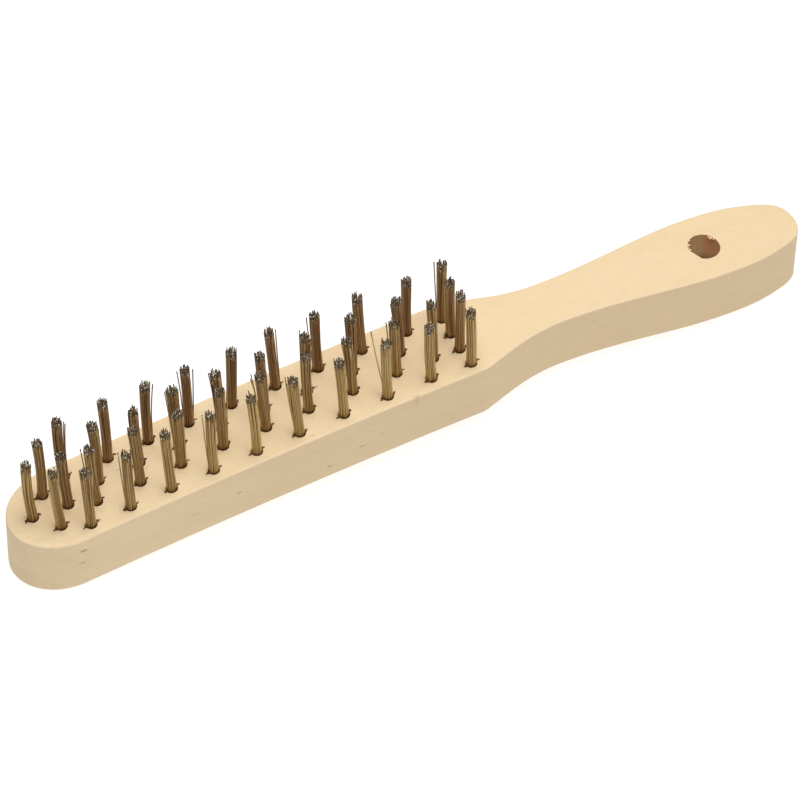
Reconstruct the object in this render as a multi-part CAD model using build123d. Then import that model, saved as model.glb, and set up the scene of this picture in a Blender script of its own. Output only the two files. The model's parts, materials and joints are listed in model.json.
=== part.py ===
"""Hand wire scratch brush: a bowed wooden body, wire tufts and their flat anchors.

Frame: +X runs from the round nose to the heel of the handle, +Y across the brush and
+Z up out of the bristle face. The brush lies on its back, so the nose and the heel touch
z = 0 and the origin is at the middle of its length and width.
"""
import os
from math import cos, radians, sin, sqrt

from build123d import *

# Wooden body. Stations along the brush are measured from the nose tip.
LENGTH = 290.0
THICKNESS = 21.8
ARCH_CREST = 160.0           # the board is bowed in two arcs that meet level here
ARCH_RISE = 6.8              # height of the back above the table at the crest
HEAD_HALF = 16.0             # half width of the bristle head
NOSE_LENGTH = 19.0           # the nose is half an ellipse
SHOULDER_X = 163.0
SHOULDER_RADIUS = 9.0
SHOULDER_FALL = 17.0         # degrees that the outline turns at the shoulder
WAIST_X, WAIST_HALF = 196.0, 9.15
GRIP_X, GRIP_HALF = 228.0, 11.45
BELLY_X, BELLY_HALF = 255.0, 13.6
HEEL_X, HEEL_HALF = 280.0, 10.5
EDGE_EASE = 0.6              # sanded radius along both rims
HANG_X = 255.0
HANG_RADIUS = 5.5

# Tufts: bundles of folded wire, each in a blind hole of its own
HOLE_RADIUS = 2.0
HOLE_DEPTH = 11.0
DRILL_POINT = 118.0          # degrees, the drill's point at the bottom of each hole
BUNDLE_RADIUS = 1.85         # inside the hole and at its mouth
TIP_RADIUS = 1.9             # the wires open slightly towards their cut ends
HOLE_GAP = 0.1               # between the bundle and the bottom of its hole

# Flat wire anchors, one across the fold of each bundle
ANCHOR_LENGTH = 5.6
ANCHOR_THICK = 0.4
ANCHOR_HEIGHT = 2.0
ANCHOR_LIFT = 1.0            # height of the fold that passes under the anchor
ANCHOR_TURN = 8.0            # degrees that the anchors are turned from the brush's length
ANCHOR_GAP = 0.03            # clearance all round an anchor

# Drilling pattern. Each line of holes has its place across the brush, or one for each
# hole, then its stations from the nose tip, how far each tuft leans to the nose in
# degrees, and the length of its free wires.
HOLE_LINES = {
    "nose": (
        (0.5, -7, -0.5, 7, 10),
        (8.5, 15, 20.5, 15, 24),
        (3, 4, 4, 2, 3),
        (28, 29, 27, 28, 30),
    ),
    "row1": (
        -11.2,
        (23.5, 37.5, 52, 67, 82.5, 98, 114, 130, 146),
        (3, 2, 4, 2, 4, 5, 4, 2, 3),
        (28, 27.5, 29.5, 29, 29, 29, 28, 28, 26.5),
    ),
    "row2": (
        -4,
        (29, 44.5, 59, 74, 89.5, 105, 121, 137, 150.5),
        (4, 5, 2, 2, 5, 3, 5, 3, 3),
        (28.5, 28.5, 27, 29, 28, 28, 27.5, 26.5, 28.5),
    ),
    "row3": (
        3.1,
        (33, 47.5, 62, 77, 92.5, 108, 124.5, 142),
        (3, 3, 4, 4, 3, 2, 2, 4),
        (29.5, 28, 30, 29, 28.5, 28.5, 28.5, 28),
    ),
    "row4": (
        9.8,
        (39.5, 54, 68.5, 84, 100, 115.5, 131.5, 148),
        (2, 1, 2, 0, 5, 3, 4, 1),
        (29.5, 29, 28.5, 27.5, 29.5, 28.5, 28.5, 27),
    ),
    "end": (
        (-11.5, -4.5, 2.5, 9.5),
        (160.5, 160, 160.5, 161),
        (2, 1, 2, 1),
        (27, 28, 27.5, 28.5),
    ),
}


def along(station):
    """X of a station that is measured from the nose tip."""
    return station - LENGTH / 2


def arch_height(x, above):
    """Height at x of the back's arch, or of its parallel that far above it."""
    away = x - along(ARCH_CREST)
    reach = ARCH_CREST if away < 0 else LENGTH - ARCH_CREST
    radius = (reach**2 + ARCH_RISE**2) / (2 * ARCH_RISE)
    return ARCH_RISE - radius + sqrt((radius + above) ** 2 - away**2)


def face_height(x):
    """Height of the bristle face at x."""
    return arch_height(x, THICKNESS)


def plan_outline():
    """The body seen from above: round nose, straight head, shoulder, waist and heel."""
    head_start = along(NOSE_LENGTH)
    shoulder = along(SHOULDER_X)
    fall = radians(SHOULDER_FALL)
    shoulder_end = (
        shoulder + SHOULDER_RADIUS * sin(fall),
        HEAD_HALF - SHOULDER_RADIUS * (1 - cos(fall)),
    )
    waist = (along(WAIST_X), WAIST_HALF)
    belly = (along(BELLY_X), BELLY_HALF)
    with BuildSketch() as sketch:
        with BuildLine():
            EllipticalCenterArc((head_start, 0), NOSE_LENGTH, HEAD_HALF, 90, arc_size=90)
            Line((head_start, HEAD_HALF), (shoulder, HEAD_HALF))
            CenterArc((shoulder, HEAD_HALF - SHOULDER_RADIUS), SHOULDER_RADIUS,
                      90 - SHOULDER_FALL, SHOULDER_FALL)
            Spline(shoulder_end, waist, tangents=[(cos(fall), -sin(fall)), (1, 0)])
            Spline(waist, (along(GRIP_X), GRIP_HALF), belly, tangents=[(1, 0), (1, 0)])
            Spline(belly, (along(HEEL_X), HEEL_HALF), (along(LENGTH), 0),
                   tangents=[(1, 0), (0, -1)])
            mirror(about=Plane.XZ)
        make_face()
    return sketch.sketch


def side_profile():
    """The bowed board seen from the side, a little longer than the body."""
    ends = (-LENGTH / 2 - 5, LENGTH / 2 + 5)
    crest = along(ARCH_CREST)
    with BuildSketch(Plane.XZ) as sketch:
        with BuildLine():
            for above in (0, THICKNESS):
                for end in ends:
                    stations = (end, (end + crest) / 2, crest)
                    ThreePointArc(*[(x, arch_height(x, above)) for x in stations])
            for end in ends:
                Line((end, arch_height(end, 0)), (end, arch_height(end, THICKNESS)))
        make_face()
    return sketch.sketch


def holes():
    """Every tuft hole: its node name, line name, x, y, and the tuft's lean and length."""
    for line, (places, stations, leans, lengths) in HOLE_LINES.items():
        for number, (station, lean, length) in enumerate(zip(stations, leans, lengths)):
            y = places[number] if isinstance(places, tuple) else places
            yield f"tuft_{line}_{number + 1}", line, along(station), y, lean, length


def hole_bottom(x):
    """Height of the shoulder of the drill's point in the hole at x."""
    return face_height(x) - HOLE_DEPTH


def point_depth(radius):
    """Length of a drill point of this radius."""
    return radius / sin(radians(DRILL_POINT / 2)) * cos(radians(DRILL_POINT / 2))


def drilled_hole(x, y):
    """A blind hole with its drill point, and the slit that its anchor cut on the way in."""
    bottom = hole_bottom(x)
    depth = point_depth(HOLE_RADIUS)
    bore = Pos(x, y, bottom) * Cylinder(
        HOLE_RADIUS, HOLE_DEPTH + 2, align=(Align.CENTER, Align.CENTER, Align.MIN))
    point = Pos(x, y, bottom - depth) * Cone(
        0, HOLE_RADIUS, depth, align=(Align.CENTER, Align.CENTER, Align.MIN))
    return [bore, point, anchor_block(x, y, ANCHOR_GAP, HOLE_DEPTH + 2)]


def anchor_block(x, y, gap, height):
    """A block on the anchor's place, wider by a gap all round."""
    return Pos(x, y, hole_bottom(x) + ANCHOR_LIFT - gap) * Rot(0, 0, ANCHOR_TURN) * Box(
        ANCHOR_LENGTH + 2 * gap, ANCHOR_THICK + 2 * gap, height + 2 * gap,
        align=(Align.CENTER, Align.CENTER, Align.MIN))


def wooden_body():
    board = extrude(side_profile(), amount=HEAD_HALF + 5, both=True)
    body = extrude(plan_outline(), amount=THICKNESS * 2) & board
    rims = body.edges().filter_by(Axis.Z, reverse=True).filter_by(Axis.Y, reverse=True)
    body = fillet(rims, EDGE_EASE)
    cutters = [Pos(along(HANG_X), 0, 0) * Cylinder(HANG_RADIUS, THICKNESS * 4)]
    for _, _, x, y, _, _ in holes():
        cutters += drilled_hole(x, y)
    return body - cutters


def tuft(x, y, lean, length):
    """One bundle: a pointed fold in the hole, then the free wires, which lean together."""
    bottom = hole_bottom(x) + HOLE_GAP
    mouth = face_height(x)
    fold = Pos(x, y, bottom - point_depth(BUNDLE_RADIUS)) * Cone(
        0, BUNDLE_RADIUS, point_depth(BUNDLE_RADIUS),
        align=(Align.CENTER, Align.CENTER, Align.MIN))
    free = Pos(x, y, mouth) * Rot(0, -lean, 0)
    rings = [
        Pos(x, y, bottom) * Circle(BUNDLE_RADIUS),
        Pos(x, y, mouth) * Circle(BUNDLE_RADIUS),
        free * Pos(0, 0, length) * Circle(TIP_RADIUS),
    ]
    wires = loft(Sketch() + rings, ruled=True)
    return fold + wires - anchor_block(x, y, ANCHOR_GAP, ANCHOR_HEIGHT)


def main():
    os.makedirs("parts", exist_ok=True)
    export_step(wooden_body(), "parts/wooden_body.step")
    anchors = {line: [] for line in HOLE_LINES}
    for name, line, x, y, lean, length in holes():
        export_step(tuft(x, y, lean, length), f"parts/{name}.step")
        anchors[line].append(anchor_block(x, y, 0, ANCHOR_HEIGHT))
    for line, blocks in anchors.items():
        export_step(Compound(children=blocks), f"parts/anchors_{line}.step")


main()
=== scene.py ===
"""Looks of a wooden wire scratch brush, laid out as an add-on and run as a script.

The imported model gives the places: the hanging hole comes from its mount, and each tuft
stands where its own CAD solid stands. Loose wires, slivers and marks on the wood are set
off from those.
"""
import json
from math import cos, pi, radians, sin
from random import Random
from typing import NamedTuple

import bmesh
import bpy
from bpy.props import FloatProperty, FloatVectorProperty, IntProperty, PointerProperty
from mathutils import Matrix, Vector
from mathutils.bvhtree import BVHTree


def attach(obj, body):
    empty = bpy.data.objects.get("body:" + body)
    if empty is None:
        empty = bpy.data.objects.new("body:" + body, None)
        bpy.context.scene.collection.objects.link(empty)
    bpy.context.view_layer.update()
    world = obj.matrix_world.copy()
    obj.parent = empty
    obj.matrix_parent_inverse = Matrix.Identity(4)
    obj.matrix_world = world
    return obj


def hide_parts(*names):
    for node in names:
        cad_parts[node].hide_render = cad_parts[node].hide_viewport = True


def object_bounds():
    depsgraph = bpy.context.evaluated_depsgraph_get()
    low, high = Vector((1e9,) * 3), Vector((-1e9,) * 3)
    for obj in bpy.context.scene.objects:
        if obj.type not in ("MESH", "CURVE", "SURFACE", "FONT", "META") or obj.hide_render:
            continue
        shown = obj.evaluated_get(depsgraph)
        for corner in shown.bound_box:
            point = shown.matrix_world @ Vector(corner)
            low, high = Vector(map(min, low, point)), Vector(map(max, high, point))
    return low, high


bl_info = {
    "name": "Wooden wire brush",
    "version": (1, 0, 0),
    "blender": (4, 5, 0),
    "location": "View3D > Sidebar > Brush",
    "description": "Finishes a wooden wire brush: raw beech, straight wire tufts and a studio",
    "category": "Object",
}

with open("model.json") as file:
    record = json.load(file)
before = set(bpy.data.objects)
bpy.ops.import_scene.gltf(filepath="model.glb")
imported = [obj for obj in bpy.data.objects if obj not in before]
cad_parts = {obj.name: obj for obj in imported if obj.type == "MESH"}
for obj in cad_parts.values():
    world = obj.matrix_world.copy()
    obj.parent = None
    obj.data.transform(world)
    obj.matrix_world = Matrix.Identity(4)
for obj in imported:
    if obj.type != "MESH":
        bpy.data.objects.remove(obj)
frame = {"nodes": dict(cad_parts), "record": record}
CAD_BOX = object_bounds()

MM = 0.001
TUFT_NODES = sorted(name for name in frame["nodes"] if name.startswith("tuft_"))
ANCHOR_NODES = sorted(name for name in frame["nodes"] if name.startswith("anchors_"))
WOODEN_BODY = frame["nodes"]["wooden_body"]
HANGING_HOLE = next(m for m in frame["record"]["mounts"] if m["name"] == "hanging_hole")

# Shades that only vary a finish; the main colours are settings.
NOSE_PAINTED_LIGHT = "#F5DDB3"        # painted light towards the nose, against the shade of the tufts on the head
WOOD_MOTTLE = "#F0D3AA"
# paler eased edges: partly sanded wood, partly a painted highlight
SANDED_RIM_AND_HIGHLIGHT = "#F0D7B4"
SCUFF = "#86622F"
HOLE_DEPTH_SHADE = "#5F3F1C"      # painted shade low in the hanging hole, where little light comes
BROKEN_FIBRE = "#A07C4E"
DARK_WIRE = "#7A5024"
GOLDEN_WIRE = "#D6BC7C"
WIRE_STREAK = "#5A3E20"
# darker last millimetres of wire: partly grime, partly painted shade in the gaps between wires
GRIME_AND_GAP_SHADE = "#352D20"
# painted glints near the tips of the wires
PAINTED_GLINT = "#F6F1E2"
# painted glint on some cut ends
SHEARED_GLINT = "#FFFDF8"
SHEARED_DARK = "#38332A"
SHEARED_DULL = "#8A8273"
STRIP_DARK, STRIP_PALE = "#7F7F80", "#A5A5A4"
TABLE_GREY = "#8C8C8C"       # under its own glow, which makes it white

RAY_START = 0.2              # metres up, clear above the whole brush

# Marks on the wood
MARKS_ON_FACE, MARKS_ON_WALL = 8, 8
MARK_SEED = 12
END_MARGIN = 10              # mm of each end of the brush that has no marks
MARK_DEPTH = 8               # mm that a mark reaches into the wood and across its curves

# Tufts
WIRE_SPAN = 40.0             # mm of wire that the finish attribute's first channel spans
SUNK = 4 * MM                # wire that is drawn below the mouth of its hole
CUT_ROOM = 0.2 * MM          # kept between the middle of a cut end and the top of the box
CUT_END_BAND = 0.6 * MM      # a tuft's corners this near its top are its cut end
POINT_BAND = 0.5 * MM        # and this near its bottom, the point of its fold
BESIDE_HOLE = 3.2 * MM       # from a tuft's middle to whole wood beside its hole
TUFT_SEED = 1000
LOOSE_SHARE = 0.12           # of a bundle's own wires that stand a little apart
ROW_SHADE = {                  # painted shade of each tuft in a line, repeated along the line; darker and browner towards the back rows
    "nose": (0.15, 0.1, 0.85, 0.7, 0.75),
    "row1": (0.05,),
    "row2": (0.4,),
    "row3": (0.65,),
    "row4": (0.72,),
    "end": (0.05, 0.4, 0.65, 0.6),
}

# Torn fibres
FIBRE_SEED = 77
ANCHOR_TURN = radians(8)     # of the anchors' slits from the brush's length
SLIT = Vector((cos(ANCHOR_TURN), sin(ANCHOR_TURN), 0))
SLIT_CRUMBS = ((2.05, 0.55), (2.4, 0.5), (2.85, 0.3))    # place along the slit, radius, mm
CRUMB_SQUASH = 0.8
BLOCK_SUNK = 0.04 * MM       # of a block's top under the face that it lies in
SLIVER_ROOT = 1.2            # mm of a sliver that is still in the wood
SLIVER_HEIGHT = 0.5          # mm
CHIP_TURN = radians(202)     # place of the chip round the hanging hole
CHIP_SIZE = (1.0, 5.0, 0.9)  # mm
CHIP_OVERLAP = 0.15 * MM

# Studio
LOOKED_AT = Vector((-7.2, -5.3, 15.8)) * MM
LAMP_PLACE = Vector((0.12, -0.06, 1.5))
LAMP_SIDE = 1.2              # metres, as are the next value and the lamp's place
TABLE_HALF = 3.0


def srgb(text):
    """Linear red, green and blue of a hex colour."""
    parts = [int(text[i:i + 2], 16) / 255 for i in (1, 3, 5)]
    return [p / 12.92 if p <= 0.04045 else ((p + 0.055) / 1.055) ** 2.4 for p in parts]


def rgba(colour):
    return (*colour, 1.0)


class WoodSettings(bpy.types.PropertyGroup):
    face: FloatVectorProperty(
        name="Sanded face", description="Pale raw beech between its grain lines",
        subtype="COLOR", size=3, default=srgb("#EAD1A8"))
    grain: FloatVectorProperty(
        name="Grain", description="Slightly warmer late wood in the grain lines",
        subtype="COLOR", size=3, default=srgb("#E3C69A"))
    fleck: FloatVectorProperty(
        name="Fleck", description="Short dark pores and sanded-in specks",
        subtype="COLOR", size=3, default=srgb("#8E6E49"))
    burnt: FloatVectorProperty(
        name="Drilled wall", description="Wall of the hanging hole, browned by the drill",
        subtype="COLOR", size=3, default=srgb("#E8CC9A"))
    # Painted shade: the side of the hole's wall towards the heel, redder and darker.
    shaded_hole_wall: FloatVectorProperty(
        name="Charred wall", description="Redder side of the same wall, towards the heel",
        subtype="COLOR", size=3, default=srgb("#EDBB88"))
    # Partly painted shade: the crumbs are as dark as the shaded anchor slits they cover.
    torn: FloatVectorProperty(
        name="Torn fibre", description="Crushed, darkened fibres that the anchors pushed up",
        subtype="COLOR", size=3, default=srgb("#694726"))


class WireSettings(bpy.types.PropertyGroup):
    diameter: FloatProperty(
        name="Wire diameter", description="Diameter of one drawn wire",
        default=0.40 * MM, unit="LENGTH", precision=5)
    pitch: FloatProperty(
        name="Wire pitch", description="Distance between neighbouring wires in a bundle",
        default=0.50 * MM, unit="LENGTH", precision=5)
    rings: IntProperty(
        name="Rings", description="Rings of wires round the middle wire of a bundle",
        default=3, min=1, max=5)
    uneven: FloatProperty(
        name="Uneven cut", description="How much shorter than its tuft a wire may be cut",
        default=1.6 * MM, unit="LENGTH", precision=5)
    bright: FloatVectorProperty(
        name="Brass coat", description="Thin brass coat on the wires of the first rows",
        subtype="COLOR", size=3, default=srgb("#CBA966"))
    # Painted shade: the coat as drawn on the back rows, darker and browner.
    shaded_coat: FloatVectorProperty(
        name="Tarnished coat", description="The same coat where it has browned",
        subtype="COLOR", size=3, default=srgb("#986F4C"))


class StageSettings(bpy.types.PropertyGroup):
    azimuth: FloatProperty(
        name="Azimuth", description="Turn of the camera round the brush",
        default=radians(-29.10), subtype="ANGLE")
    elevation: FloatProperty(
        name="Elevation", description="Height of the camera above the table, as an angle",
        default=radians(50.14), subtype="ANGLE")
    roll: FloatProperty(
        name="Roll", description="Tilt of the camera about its own line of sight",
        default=radians(1.28), subtype="ANGLE")
    distance: FloatProperty(
        name="Distance", description="From the camera to the point it looks at",
        default=1.676, unit="LENGTH")
    lens: FloatProperty(
        name="Lens", description="Focal length in millimetres on a 36 mm sensor",
        default=231.3)
    lamp_power: FloatProperty(
        name="Lamp", description="Power of the overhead softbox in watts", default=26.5)
    table_glow: FloatProperty(
        name="Table glow", description="How brightly the table shines by itself",
        default=0.84)
    room_light: FloatProperty(
        name="Room light", description="Strength of the even light from all sides",
        default=0.12)


def add(tree, kind, inputs=None, **settings):
    """Add a node, set it up, and give its sockets their values or links."""
    node = tree.nodes.new(kind)
    for name, value in settings.items():
        setattr(node, name, value)
    for socket, value in (inputs or {}).items():
        if isinstance(value, bpy.types.NodeSocket):
            tree.links.new(value, node.inputs[socket])
        else:
            node.inputs[socket].default_value = value
    return node


def new_material(name):
    """An empty node material with its output; returns the material and its tree."""
    material = bpy.data.materials.new(name)
    material.use_nodes = True
    material.node_tree.nodes.clear()
    return material, material.node_tree


def millimetres(tree):
    """Object coordinates in millimetres."""
    place = add(tree, "ShaderNodeTexCoord")
    scaled = add(tree, "ShaderNodeVectorMath", {0: place.outputs["Object"], "Scale": 1 / MM},
                 operation="SCALE")
    return scaled.outputs[0]


def stretched_noise(tree, place, cell, detail=2.0, roughness=0.5):
    """Noise whose features are about cell millimetres along X, Y and Z."""
    squeezed = add(tree, "ShaderNodeVectorMath",
                   {0: place, 1: [1 / size for size in cell]}, operation="MULTIPLY")
    noise = add(tree, "ShaderNodeTexNoise",
                {"Vector": squeezed.outputs[0], "Scale": 1.0, "Detail": detail,
                 "Roughness": roughness})
    return noise.outputs["Fac"]


def ramp(tree, value, low, high, to_low=0.0, to_high=1.0):
    """Map a value from low..high to to_low..to_high, smoothly and clamped."""
    mapped = add(tree, "ShaderNodeMapRange",
                 {"Value": value, "From Min": low, "From Max": high, "To Min": to_low,
                  "To Max": to_high}, interpolation_type="SMOOTHSTEP")
    return mapped.outputs["Result"]


def blend(tree, share, first, second, mode="MIX"):
    """Mix two colours, each a socket or a fixed colour."""
    mix = add(tree, "ShaderNodeMix", data_type="RGBA", blend_type=mode)
    for socket, value in ((0, share), (6, first), (7, second)):
        if isinstance(value, bpy.types.NodeSocket):
            tree.links.new(value, mix.inputs[socket])
        else:
            mix.inputs[socket].default_value = value
    return mix.outputs[2]


def scattered_marks():
    """Middle, half sizes (both in mm) and strength of a few specks and scuffs, strewn over
    the bristle face and the front wall."""
    rng = Random(MARK_SEED)
    low, high = (Vector(corner) / MM for corner in CAD_BOX)
    top = max(v.co.z for v in WOODEN_BODY.data.vertices) / MM
    for number in range(MARKS_ON_FACE + MARKS_ON_WALL):
        x = rng.uniform(low.x + END_MARGIN, high.x - END_MARGIN)
        long, thin = rng.uniform(0.7, 1.8), rng.uniform(0.3, 0.6)
        strength = rng.uniform(0.15, 0.6)
        if number < MARKS_ON_FACE:
            middle = (x, rng.uniform(low.y, high.y), top)
            yield middle, (long, thin, MARK_DEPTH), strength
        else:
            middle = (x, low.y, rng.uniform(top / 3, top * 0.8))
            yield middle, (long, MARK_DEPTH, thin), strength


def spot(tree, place, centre, size, strength):
    """A soft spot of that strength round a centre, with these half sizes."""
    away = add(tree, "ShaderNodeVectorMath", {0: place, 1: centre}, operation="SUBTRACT")
    scaled = add(tree, "ShaderNodeVectorMath", {0: away.outputs[0], 1: size},
                 operation="DIVIDE")
    reach = add(tree, "ShaderNodeVectorMath", {0: scaled.outputs[0]}, operation="LENGTH")
    return ramp(tree, reach.outputs["Value"], 0.45, 1.15, strength, 0.0)


def raw_beech(settings):
    """Raw beech, planed and sanded: pale, softly mottled along the board, with short dark
    pores, a few specks and scuffs, painted light that makes the head paler towards the nose,
    and paler rims, partly sanded edges and partly a painted highlight. Matt, so the light
    falls off softly; inside the hanging hole the wall is a little browner, and painted shade
    makes it redder towards the heel and darker low down."""
    material, tree = new_material("raw_beech")
    place = millimetres(tree)
    x, _, z = add(tree, "ShaderNodeSeparateXYZ", {0: place}).outputs
    broad = stretched_noise(tree, place, (40, 8, 8))
    mottle = stretched_noise(tree, place, (7, 3, 3), detail=3, roughness=0.6)
    lines = stretched_noise(tree, place, (30, 0.8, 0.8), detail=3, roughness=0.6)
    fuzz = stretched_noise(tree, place, (2.4, 0.9, 0.9), detail=2, roughness=0.7)
    pores = stretched_noise(tree, place, (1.9, 0.36, 0.36), detail=1)
    # Painted light: paler towards the nose, against the shade that the tufts cast on the head.
    colour = blend(tree, ramp(tree, x, -140, 40, 1.0, 0.0), rgba(settings.face),
                   rgba(srgb(NOSE_PAINTED_LIGHT)))
    colour = blend(tree, ramp(tree, broad, 0.3, 0.7, 0.0, 0.3), colour,
                   rgba(settings.grain))
    colour = blend(tree, ramp(tree, mottle, 0.42, 0.66, 0.0, 0.4), colour,
                   rgba(srgb(WOOD_MOTTLE)))
    colour = blend(tree, ramp(tree, lines, 0.5, 0.8, 0.0, 0.22), colour,
                   rgba(settings.grain))
    colour = blend(tree, ramp(tree, fuzz, 0.45, 0.75, 0.0, 0.35), colour,
                   rgba(settings.grain))
    colour = blend(tree, ramp(tree, pores, 0.70, 0.78, 0.0, 0.22), colour,
                   rgba(settings.fleck))

    facing = add(tree, "ShaderNodeNewGeometry").outputs["True Normal"]
    upwards = add(tree, "ShaderNodeSeparateXYZ", {0: facing}).outputs[2]
    # Paler eased edges, tilted between face and walls: partly sanded wood, partly a painted
    # highlight.
    rim = add(tree, "ShaderNodeMath", {0: ramp(tree, upwards, 0.1, 0.3),
                                       1: ramp(tree, upwards, 0.9, 0.99, 1.0, 0.0)},
              operation="MULTIPLY")
    colour = blend(tree, rim.outputs[0], colour, rgba(srgb(SANDED_RIM_AND_HIGHLIGHT)))
    for centre, size, strength in scattered_marks():
        colour = blend(tree, spot(tree, place, centre, size, strength), colour,
                       rgba(srgb(SCUFF)))

    hole = Vector(HANGING_HOLE["pos_m"]) / MM
    radius = HANGING_HOLE["dims"]["r_mm"]
    inside = spot(tree, place, hole, [radius + 1, radius + 1, 400], 1.0)
    wall = add(tree, "ShaderNodeMath", {0: ramp(tree, inside, 0.05, 0.1),
                                        1: ramp(tree, upwards, 0.3, 0.6, 1.0, 0.0)},
               operation="MULTIPLY")
    # The hole's wall: its own colour, with painted shade towards the heel and low down.
    hole_wall_and_shade = blend(tree, ramp(tree, x, hole.x + 2, hole.x + 3.2),
                    rgba(settings.burnt), rgba(settings.shaded_hole_wall))
    hole_wall_and_shade = blend(tree, ramp(tree, z, 10, 18, 0.85, 0.0), hole_wall_and_shade, rgba(srgb(HOLE_DEPTH_SHADE)))
    colour = blend(tree, wall.outputs[0], colour, hole_wall_and_shade)
    bump = add(tree, "ShaderNodeBump", {"Height": mottle, "Strength": 0.25,
                                        "Distance": 0.05 * MM})
    surface = add(tree, "ShaderNodeBsdfPrincipled",
                  {"Base Color": colour, "Roughness": 0.62, "Normal": bump.outputs[0],
                   "Specular IOR Level": 0.35})
    add(tree, "ShaderNodeOutputMaterial", {"Surface": surface.outputs[0]})
    return material


def torn_fibre(settings):
    """Crushed wood fibres: rough and dark brown, partly as painted shade of the anchor slits
    they cover, with paler broken ends.
    """
    material, tree = new_material("torn_fibre")
    patch = stretched_noise(tree, millimetres(tree), (0.6, 0.4, 0.4))
    colour = blend(tree, ramp(tree, patch, 0.45, 0.7, 0.0, 0.5), rgba(settings.torn),
                   rgba(srgb(BROKEN_FIBRE)))
    surface = add(tree, "ShaderNodeBsdfPrincipled",
                  {"Base Color": colour, "Roughness": 0.85, "Specular IOR Level": 0.2})
    add(tree, "ShaderNodeOutputMaterial", {"Surface": surface.outputs[0]})
    return material


def brass_coated_wire(settings):
    """Drawn steel wire with a thin brass coat: warm, half bright lines along each wire, with
    painted shade that makes the back rows browner, and on the last millimetres ragged grime
    darkened further as painted shade between the wires, and painted glints."""
    material, tree = new_material("brass_coated_wire")
    finish = add(tree, "ShaderNodeAttribute", attribute_name="wire_finish")
    parts = add(tree, "ShaderNodeSeparateColor", {"Color": finish.outputs["Color"]})
    to_end, row_shade, wire = parts.outputs[0], parts.outputs[1], parts.outputs[2]
    place = millimetres(tree)
    patch = stretched_noise(tree, place, (0.5, 0.5, 4.0))
    # Painted shade: the back rows blend towards the darker, browner coat.
    colour = blend(tree, row_shade, rgba(settings.bright), rgba(settings.shaded_coat))
    colour = blend(tree, ramp(tree, wire, 0.45, 1.0, 0.0, 0.6), colour,
                   rgba(srgb(DARK_WIRE)))
    colour = blend(tree, ramp(tree, wire, 0.0, 0.3, 0.55, 0.0), colour,
                   rgba(srgb(GOLDEN_WIRE)))
    colour = blend(tree, ramp(tree, patch, 0.5, 0.75, 0.0, 0.3), colour,
                   rgba(srgb(WIRE_STREAK)))
    # Darker last millimetres: partly grime, partly painted shade in the gaps between the
    # wires.
    ragged = add(tree, "ShaderNodeMath",
                 {0: stretched_noise(tree, place, (0.5, 0.5, 2.0)), 1: 3.5 / WIRE_SPAN,
                  2: to_end}, operation="MULTIPLY_ADD")
    grime_and_gap_shade = ramp(tree, ragged.outputs[0], 2.7 / WIRE_SPAN, 4.3 / WIRE_SPAN, 0.8, 0.0)
    colour = blend(tree, grime_and_gap_shade, colour, rgba(srgb(GRIME_AND_GAP_SHADE)))
    # Painted glints: near-white spots on the last millimetres of the wires.
    glint_pattern = stretched_noise(tree, place, (0.45, 0.45, 0.6), detail=0)
    bright = add(tree, "ShaderNodeMath",
                 {0: ramp(tree, glint_pattern, 0.66, 0.71), 1: ramp(
                     tree, to_end, 1.5 / WIRE_SPAN, 3.5 / WIRE_SPAN, 1.0, 0.0)},
                 operation="MULTIPLY")
    colour = blend(tree, bright.outputs[0], colour, rgba(srgb(PAINTED_GLINT)))
    surface = add(tree, "ShaderNodeBsdfPrincipled",
                  {"Base Color": colour, "Metallic": 0.3, "Roughness": 0.45})
    add(tree, "ShaderNodeOutputMaterial", {"Surface": surface.outputs[0]})
    return material


def cut_steel():
    """Freshly sheared steel: the ends of the wires, some painted near white as glints that
    sparkle against the grime, the rest dark.
    """
    material, tree = new_material("sheared_steel")
    finish = add(tree, "ShaderNodeAttribute", attribute_name="wire_finish")
    parts = add(tree, "ShaderNodeSeparateColor", {"Color": finish.outputs["Color"]})
    patch = stretched_noise(tree, millimetres(tree), (0.3, 0.3, 0.3))
    # Painted glint: near white on some cut ends; the others are dark.
    colour = blend(tree, ramp(tree, parts.outputs[2], 0.2, 0.25), rgba(srgb(SHEARED_GLINT)),
                   rgba(srgb(SHEARED_DARK)))
    colour = blend(tree, ramp(tree, patch, 0.6, 0.75, 0.0, 0.3), colour,
                   rgba(srgb(SHEARED_DULL)))
    surface = add(tree, "ShaderNodeBsdfPrincipled",
                  {"Base Color": colour, "Metallic": 0.15, "Roughness": 0.4})
    add(tree, "ShaderNodeOutputMaterial", {"Surface": surface.outputs[0]})
    return material


def flat_anchor_wire():
    """Flat drawn steel strip, dull and faintly lined by its rollers."""
    material, tree = new_material("flat_anchor_wire")
    lines = stretched_noise(tree, millimetres(tree), (6, 0.05, 0.2))
    colour = blend(tree, lines, rgba(srgb(STRIP_DARK)), rgba(srgb(STRIP_PALE)))
    surface = add(tree, "ShaderNodeBsdfPrincipled",
                  {"Base Color": colour, "Metallic": 1.0, "Roughness": 0.38})
    add(tree, "ShaderNodeOutputMaterial", {"Surface": surface.outputs[0]})
    return material


def give_material(piece, *materials):
    piece.data.materials.clear()
    for material in materials:
        piece.data.materials.append(material)


def new_piece(context, bm, name, *materials):
    """Turn a finished mesh into an object of the scene, with its materials."""
    mesh = bpy.data.meshes.new(name)
    bm.to_mesh(mesh)
    bm.free()
    piece = bpy.data.objects.new(name, mesh)
    context.scene.collection.objects.link(piece)
    give_material(piece, *materials)
    return piece


def wood_surface():
    """The wooden body as a tree that rays can be cast at."""
    mesh = WOODEN_BODY.data
    return BVHTree.FromPolygons([v.co for v in mesh.vertices],
                                [p.vertices for p in mesh.polygons])


def face_at(wood, x, y):
    """Height of the bristle face at x, y."""
    return wood.ray_cast(Vector((x, y, RAY_START)), Vector((0, 0, -1)))[0].z


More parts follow.
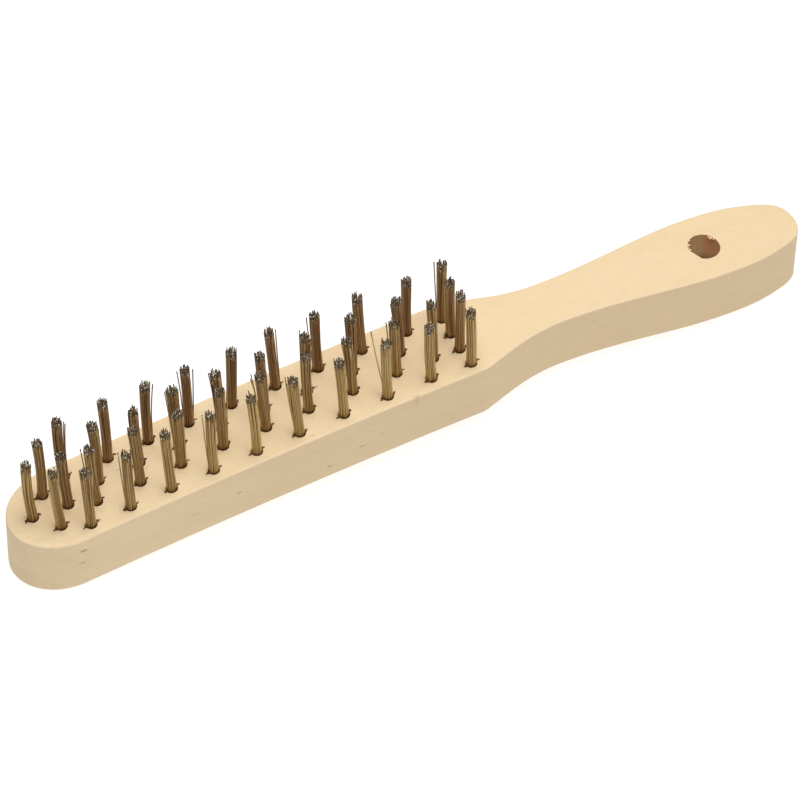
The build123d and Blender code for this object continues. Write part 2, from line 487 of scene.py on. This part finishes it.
class TuftLine(NamedTuple):
    """What all the wires of one tuft follow."""

    mouth: Vector            # middle of the mouth of its hole
    tip: Vector              # middle of its cut ends
    bow: Vector              # how far it bows sideways at half height
    pinch: float             # share by which it is narrower there
    flare: float             # share by which it is wider at its cut ends
    twist: float             # turn from its mouth to its cut ends
    # painted shade of its wires, darker and browner on the back rows
    row_shade: float


def tuft_ends(node, wood):
    """Mouth and middle of the cut ends of a tuft, read from its CAD solid."""
    corners = [v.co for v in frame["nodes"][node].data.vertices]
    top = max(c.z for c in corners)
    bottom = min(c.z for c in corners)
    ends = [c for c in corners if c.z > top - CUT_END_BAND]
    point = [c for c in corners if c.z < bottom + POINT_BAND]
    tip = sum(ends, Vector()) / len(ends)
    root = sum(point, Vector()) / len(point)
    return Vector((root.x, root.y, face_at(wood, root.x, root.y + BESIDE_HOLE))), tip


def tuft_line(node, wood, rng):
    """The line of one tuft, with a chance bow, twist and painted shade of its own; the shade
    is darker on the back rows.
    """
    mouth, tip = tuft_ends(node, wood)
    bow = Vector((rng.gauss(0, 0.2), rng.gauss(0, 0.2), 0)) * MM
    pinch, flare = rng.uniform(0.0, 0.08), rng.uniform(-0.06, 0.05)
    twist = rng.gauss(0, 0.12)
    _, row, place_in_row = node.split("_")
    shares = ROW_SHADE[row]
    row_shade = shares[(int(place_in_row) - 1) % len(shares)] + rng.gauss(0, 0.08)
    return TuftLine(mouth, tip, bow, pinch, flare, twist, min(max(row_shade, 0), 1))


def wire_template(sides=6, spans=5):
    """One straight wire of unit length and radius, with its caps marked as cut ends."""
    bm = bmesh.new()
    bmesh.ops.create_cone(bm, cap_ends=True, segments=sides, radius1=1, radius2=1, depth=1)
    bmesh.ops.translate(bm, verts=bm.verts, vec=(0, 0, 0.5))
    walls = [e for e in bm.edges if abs(e.verts[0].co.z - e.verts[1].co.z) > 0.5]
    bmesh.ops.subdivide_edges(bm, edges=walls, cuts=spans - 1, use_grid_fill=True)
    for face in bm.faces:
        cap = abs(face.normal.z) > 0.5
        face.smooth = not cap
        face.material_index = int(cap)
    mesh = bpy.data.meshes.new("wire_template")
    bm.to_mesh(mesh)
    bm.free()
    return mesh


def bundle_places(rings, pitch, rng):
    """Places of the wires of a bundle: one in the middle and six more on each ring."""
    places = [Vector((0, 0))]
    for ring in range(1, rings + 1):
        phase = rng.uniform(0, 2 * pi)
        for step in range(6 * ring):
            angle = phase + 2 * pi * step / (6 * ring)
            places.append(Vector((cos(angle), sin(angle))) * ring * pitch)
    return places


# Wires that stand off their tufts: where each cut end is against the tuft's own, in mm.
LOOSE_WIRES = {
    "nose_5": ((2.0, -1.1, 0), (2.5, -1.3, -2)),
    "row1_2": ((-2.4, 1.3, 0),),
    "row1_4": ((-2.3, 1.3, 0),),
    "row1_6": ((-1.4, 0.8, 2), (-2.2, 1.2, 1.2)),
    "row1_8": ((-2.0, 7.8, -0.5),),
    "row2_1": ((-2.4, 1.3, -1),),
    "row2_3": ((-2.6, 1.4, 0),),
    "row2_4": ((2.2, -1.2, -1),),
    "row2_5": ((-2.3, 1.3, 0),),
    "row2_8": ((-2.3, 1.3, 0),),
    "row2_9": ((0, 0, 2),),
    "row3_3": ((-2.4, 1.3, 0),),
    "row4_2": ((2.2, -1.2, 0),),
    "row4_3": ((-2.4, 1.3, -1), (2.4, -1.3, -0.5)),
    "row4_4": ((1.6, -0.9, 1.5),),
    "row4_5": ((2.1, -1.2, 0),),
    "row4_6": ((-2.4, 1.3, -0.5),),
    "end_1": ((0.3, 0, 2),),
    "end_4": ((-2.4, 1.3, 0.5),),
}


def add_wire(bm, template, finish, line, place, bend, curve, rise, settings, rng):
    """Append one wire to a tuft: up its hole, then along the tuft's own line. It starts at
    place in the bundle, and its cut end stands off by bend sideways and by rise upwards;
    curve is the power of height with which it bends."""
    free = line.tip - line.mouth
    whole = free.length + rise - abs(rng.gauss(0, 0.6)) * settings.uneven + SUNK
    highest = CAD_BOX[1][2] - CUT_ROOM
    whole = min(whole, SUNK + (highest - line.mouth.z) / free.normalized().z)
    darkness = rng.random()
    slant = Vector((rng.gauss(0, 0.7), rng.gauss(0, 0.7)))
    radius = settings.diameter / 2
    first = len(bm.verts)
    bm.from_mesh(template)
    bm.verts.ensure_lookup_table()
    for vert in bm.verts[first:]:
        round_wire = Vector((vert.co.x, vert.co.y)) * radius
        along = vert.co.z * whole - SUNK
        if vert.co.z > 0.99:
            along += round_wire.dot(slant)
        share = min(max(along, 0) / free.length, 1)
        spread = 1 - line.pinch * sin(pi * share) + line.flare * share**2
        middle = line.mouth + free.normalized() * max(along, 0)
        middle += Vector((0, 0, min(along, 0)))
        middle += line.bow * sin(pi * share)
        turned = Matrix.Rotation(line.twist * share, 2) @ place * spread
        side = turned + bend * share**curve
        vert.co = middle + Vector((*(side + round_wire), 0))
        vert.co.z = min(vert.co.z, CAD_BOX[1][2])
        to_end = (whole - SUNK - along) / MM
        vert[finish] = (to_end / WIRE_SPAN, line.row_shade, darkness, 1)


# Slivers left on the rim of the hanging hole: its nose side (-1) or heel side (1), place
# across the brush, length over the hole and width, in mm.
RIM_SLIVERS = (
    (-1, 4.3, 0.5, 0.5),
    (-1, 3.4, 0.3, 0.5),
    (-1, 2.5, 1.0, 0.55),
    (-1, 1.5, 0.45, 0.5),
    (-1, 0.6, 0.9, 0.6),
    (1, 1.9, 0.6, 0.5),
    (1, 2.7, 1.1, 0.6),
    (1, 3.5, 0.7, 0.5),
)


def add_crumb(bm, place, radius, rng):
    """Append one crushed lump of fibre, half sunk in the wood."""
    lump = bmesh.ops.create_icosphere(bm, subdivisions=1, radius=radius,
                                      matrix=Matrix.Translation(place))
    for vert in lump["verts"]:
        away = vert.co - place
        vert.co = place + away * rng.uniform(0.6, 1.25)
        vert.co.z = place.z + (vert.co.z - place.z) * CRUMB_SQUASH


def add_block(bm, place, size, turn):
    """Append one block with the middle of its top just under place, turned about Z."""
    length, width, height = (side * MM for side in size)
    low = Vector((0, 0, -height / 2 - BLOCK_SUNK))
    bmesh.ops.create_cube(bm, size=1, matrix=Matrix.Translation(place + low)
                          @ Matrix.Rotation(turn, 4, "Z")
                          @ Matrix.Diagonal((length, width, height, 1)))


class BRUSH_OT_finish_wood(bpy.types.Operator):
    """Give the wooden body its raw beech and the anchors their flat wire"""

    bl_idname = "brush.finish_wood"
    bl_label = "Wooden body"

    def execute(self, context):
        give_material(WOODEN_BODY, raw_beech(context.scene.brush_wood))
        strip = flat_anchor_wire()
        for node in ANCHOR_NODES:
            give_material(frame["nodes"][node], strip)
        return {"FINISHED"}


class BRUSH_OT_wire_tufts(bpy.types.Operator):
    """Build every tuft as a bundle of single wires on the line of its CAD solid"""

    bl_idname = "brush.wire_tufts"
    bl_label = "Wire tufts"

    def execute(self, context):
        settings = context.scene.brush_wire
        wood = wood_surface()
        template = wire_template()
        coated, cut = brass_coated_wire(settings), cut_steel()
        for number, node in enumerate(TUFT_NODES):
            rng = Random(TUFT_SEED + number)
            line = tuft_line(node, wood, rng)
            bm = bmesh.new()
            finish = bm.verts.layers.float_color.new("wire_finish")
            for place in bundle_places(settings.rings, settings.pitch, rng):
                jitter = Vector((rng.gauss(0, 0.04), rng.gauss(0, 0.04))) * MM
                loose = 0.7 if rng.random() < LOOSE_SHARE else 0.14
                bend = Vector((rng.gauss(0, loose), rng.gauss(0, loose))) * MM
                add_wire(bm, template, finish, line, place + jitter, bend, 1.6, 0,
                         settings, rng)
            for *reach, rise in LOOSE_WIRES.get(node.removeprefix("tuft_"), ()):
                bend = Vector(reach) * MM
                place = bend.normalized() * settings.rings * settings.pitch
                add_wire(bm, template, finish, line, place, bend - place, 1.0, rise * MM,
                         settings, rng)
            piece = new_piece(context, bm, node.replace("tuft", "wires"), coated, cut)
            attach(piece, "root")
            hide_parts(node)
        bpy.data.meshes.remove(template)
        return {"FINISHED"}


class BRUSH_OT_torn_fibres(bpy.types.Operator):
    """Build the fibres torn up by the anchors and by the drill of the hanging hole"""

    bl_idname = "brush.torn_fibres"
    bl_label = "Torn fibres"

    def execute(self, context):
        wood = wood_surface()
        rng = Random(FIBRE_SEED)
        bm = bmesh.new()
        for node in TUFT_NODES:
            mouth, _ = tuft_ends(node, wood)
            for end in (-1, 1):
                for reach, radius in SLIT_CRUMBS:
                    place = mouth + SLIT * (end * reach * MM)
                    place += Vector((rng.gauss(0, 0.1), rng.gauss(0, 0.2), 0.08)) * MM
                    add_crumb(bm, place, radius * rng.uniform(0.8, 1.2) * MM, rng)
        torn = torn_fibre(context.scene.brush_wood)
        splinters = new_piece(context, bm, "anchor_slit_splinters", torn)
        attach(splinters, "root")

        hole = Vector(HANGING_HOLE["pos_m"])
        radius = HANGING_HOLE["dims"]["r_mm"] * MM
        bm = bmesh.new()
        for end, across, length, width in RIM_SLIVERS:
            y = across * MM
            rim = end * (radius**2 - y**2) ** 0.5
            x = hole.x + rim - end * (length - SLIVER_ROOT) / 2 * MM
            top = face_at(wood, hole.x + end * (radius + 1 * MM), hole.y + y)
            size = (length + SLIVER_ROOT, width, SLIVER_HEIGHT)
            add_block(bm, Vector((x, hole.y + y, top)), size, 0)
        outwards = Vector((cos(CHIP_TURN), sin(CHIP_TURN), 0))
        chip = hole + outwards * (radius - CHIP_OVERLAP)
        chip.z = face_at(wood, chip.x - 1.5 * MM, chip.y - 1.5 * MM)
        add_block(bm, chip, CHIP_SIZE, CHIP_TURN)
        fibres = new_piece(context, bm, "hanging_hole_fibres", WOODEN_BODY.data.materials[0])
        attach(fibres, "root")
        return {"FINISHED"}


class BRUSH_OT_studio(bpy.types.Operator):
    """Set the pale table, the soft lights and the camera"""

    bl_idname = "brush.studio"
    bl_label = "Studio"

    def execute(self, context):
        scene = context.scene
        settings = scene.brush_stage
        material, tree = new_material("white_acrylic_table")
        surface = add(tree, "ShaderNodeBsdfPrincipled",
                      {"Base Color": rgba(srgb(TABLE_GREY)), "Roughness": 0.9,
                       "Emission Color": (1, 1, 1, 1),
                       "Emission Strength": settings.table_glow})
        add(tree, "ShaderNodeOutputMaterial", {"Surface": surface.outputs[0]})
        bm = bmesh.new()
        bmesh.ops.create_grid(bm, x_segments=1, y_segments=1, size=TABLE_HALF)
        new_piece(context, bm, "table", material)

        world = bpy.data.worlds.new("studio")
        world.use_nodes = True
        background = world.node_tree.nodes["Background"]
        background.inputs[0].default_value = (1, 1, 1, 1)
        background.inputs[1].default_value = settings.room_light
        scene.world = world
        lamp = bpy.data.lights.new("overhead_softbox", "AREA")
        lamp.shape = "RECTANGLE"
        lamp.size, lamp.size_y = LAMP_SIDE, LAMP_SIDE
        lamp.energy = settings.lamp_power
        box = bpy.data.objects.new("overhead_softbox", lamp)
        box.matrix_world = look_at(LAMP_PLACE, LOOKED_AT)
        scene.collection.objects.link(box)

        camera = bpy.data.objects.new("camera", bpy.data.cameras.new("camera"))
        scene.collection.objects.link(camera)
        camera.data.lens = settings.lens
        camera.data.sensor_width = 36
        camera.data.clip_end = 20
        away = Vector((sin(settings.azimuth) * cos(settings.elevation),
                       -cos(settings.azimuth) * cos(settings.elevation),
                       sin(settings.elevation)))
        eye = LOOKED_AT + away * settings.distance
        camera.matrix_world = (look_at(eye, LOOKED_AT)
                               @ Matrix.Rotation(settings.roll, 4, "Z"))
        scene.camera = camera
        scene.view_settings.view_transform = "Standard"
        return {"FINISHED"}


def look_at(place, target):
    """World matrix of a lamp or camera at place that faces target."""
    turn = (place - target).to_track_quat("Z", "Y").to_matrix().to_4x4()
    return Matrix.Translation(place) @ turn


class BRUSH_PT_sidebar(bpy.types.Panel):
    """Sizes, colours and the steps of the brush"""

    bl_label = "Wooden wire brush"
    bl_idname = "BRUSH_PT_sidebar"
    bl_space_type = "VIEW_3D"
    bl_region_type = "UI"
    bl_category = "Brush"

    def draw(self, context):
        for group, operators in STEPS:
            box = self.layout.box()
            settings = getattr(context.scene, group)
            for name in settings.bl_rna.properties.keys():
                if name not in ("rna_type", "name"):
                    box.prop(settings, name)
            for operator in operators:
                box.operator(operator)


STEPS = (
    ("brush_wood", ("brush.finish_wood", "brush.torn_fibres")),
    ("brush_wire", ("brush.wire_tufts",)),
    ("brush_stage", ("brush.studio",)),
)
GROUPS = {"brush_wood": WoodSettings, "brush_wire": WireSettings,
          "brush_stage": StageSettings}
CLASSES = (*GROUPS.values(), BRUSH_OT_finish_wood, BRUSH_OT_torn_fibres,
           BRUSH_OT_wire_tufts, BRUSH_OT_studio, BRUSH_PT_sidebar)


def register():
    for kind in CLASSES:
        bpy.utils.register_class(kind)
    for name, group in GROUPS.items():
        setattr(bpy.types.Scene, name, PointerProperty(type=group))


def unregister():
    for name in GROUPS:
        delattr(bpy.types.Scene, name)
    for kind in reversed(CLASSES):
        bpy.utils.unregister_class(kind)


def main():
    register()
    for _, operators in STEPS:
        for operator in operators:
            space, name = operator.split(".")
            getattr(getattr(bpy.ops, space), name)()


if __name__ == "__main__":
    main()
